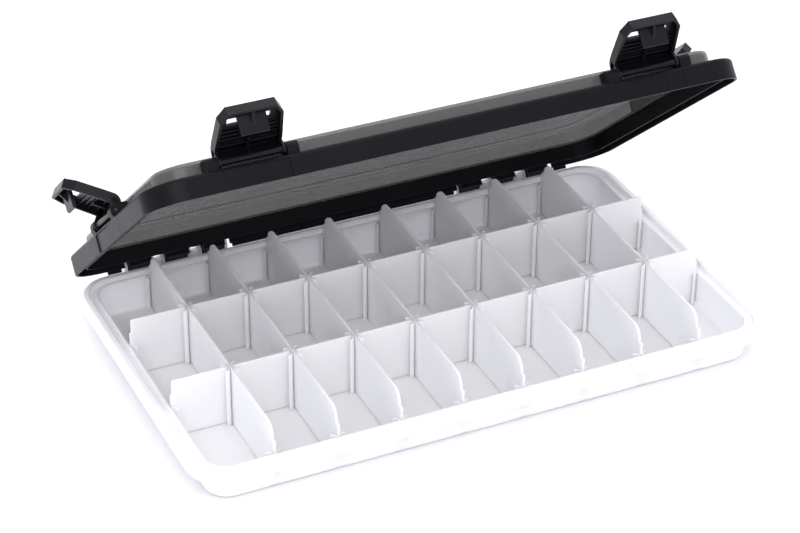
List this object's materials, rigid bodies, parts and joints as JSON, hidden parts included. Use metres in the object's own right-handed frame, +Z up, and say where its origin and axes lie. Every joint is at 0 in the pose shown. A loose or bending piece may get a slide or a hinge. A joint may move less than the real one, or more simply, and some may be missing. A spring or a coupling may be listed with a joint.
{
  "type": "fishing tackle box",
  "caption": "Shallow latching tackle box: white divided tray, hinged black lid frame with a raised smoky window, swing latches on its front and ends.",
  "frame": {"origin": "centre of the tray's flat underside", "axes": "+X along the box's length, +Y towards the lid hinge, +Z up out of the tray"},
  "size_m": [0.392, 0.2218, 0.2036],
  "materials": {
    "tray_white": "satin moulded polypropylene, white",
    "divider_white": "satin moulded polypropylene, white, slightly translucent",
    "frame_black": "satin moulded black plastic",
    "latch_black": "satin moulded black plastic",
    "window_smoke": "smoky see-through moulded plastic",
    "gasket_rubber": "soft black seal",
    "hinge_pin_steel": "drawn wire",
    "latch_pin_black": "plain black rod"
  },
  "bodies": {
    "tray": {"tray_base": "tray_white", "long_divider_front": "divider_white", "long_divider_rear": "divider_white", "cross_divider_front_1": "divider_white", "cross_divider_front_2": "divider_white", "cross_divider_front_3": "divider_white", "cross_divider_front_4": "divider_white", "cross_divider_front_5": "divider_white", "cross_divider_front_6": "divider_white", "cross_divider_front_7": "divider_white", "cross_divider_front_8": "divider_white", "cross_divider_middle_1": "divider_white", "cross_divider_middle_2": "divider_white", "cross_divider_middle_3": "divider_white", "cross_divider_middle_4": "divider_white", "cross_divider_middle_5": "divider_white", "cross_divider_middle_6": "divider_white", "cross_divider_middle_7": "divider_white", "cross_divider_middle_8": "divider_white", "cross_divider_rear_1": "divider_white", "cross_divider_rear_2": "divider_white", "cross_divider_rear_3": "divider_white", "cross_divider_rear_4": "divider_white", "cross_divider_rear_5": "divider_white", "cross_divider_rear_6": "divider_white", "cross_divider_rear_7": "divider_white", "cross_divider_rear_8": "divider_white", "hinge_pin_left": "hinge_pin_steel", "hinge_pin_right": "hinge_pin_steel"},
    "lid": {"lid_frame": "frame_black", "lid_window": "window_smoke", "lid_gasket": "gasket_rubber", "latch_pin_front_left": "latch_pin_black", "latch_pin_front_right": "latch_pin_black", "latch_pin_end_left": "latch_pin_black", "latch_pin_end_right": "latch_pin_black"},
    "latch_front_left": {"latch_front_left": "latch_black"},
    "latch_front_right": {"latch_front_right": "latch_black"},
    "latch_end_left": {"latch_end_left": "latch_black"},
    "latch_end_right": {"latch_end_right": "latch_black"}
  },
  "joints": [
    {"name": "lid_hinge", "type": "hinge", "parent": "tray", "child": "lid", "pos_m": [0, 0.112, 0.0215], "axis": [-1, 0, 0], "range_deg": [-40.8, 109.2]},
    {"name": "latch_front_left_pivot", "type": "hinge", "parent": "lid", "child": "latch_front_left", "pos_m": [-0.117, -0.04127, 0.1719], "axis": [-1, 0, 0], "range_deg": [-121, 13]},
    {"name": "latch_front_right_pivot", "type": "hinge", "parent": "lid", "child": "latch_front_right", "pos_m": [0.117, -0.04127, 0.1719], "axis": [-1, 0, 0], "range_deg": [-121, 13]},
    {"name": "latch_end_left_pivot", "type": "hinge", "parent": "lid", "child": "latch_end_left", "pos_m": [-0.1729, 0.03617, 0.10505], "axis": [0, 0.757, -0.6534], "range_deg": [-122, 12]},
    {"name": "latch_end_right_pivot", "type": "hinge", "parent": "lid", "child": "latch_end_right", "pos_m": [0.1729, 0.03617, 0.10505], "axis": [0, -0.757, 0.6534], "range_deg": [-122, 12]}
  ]
}
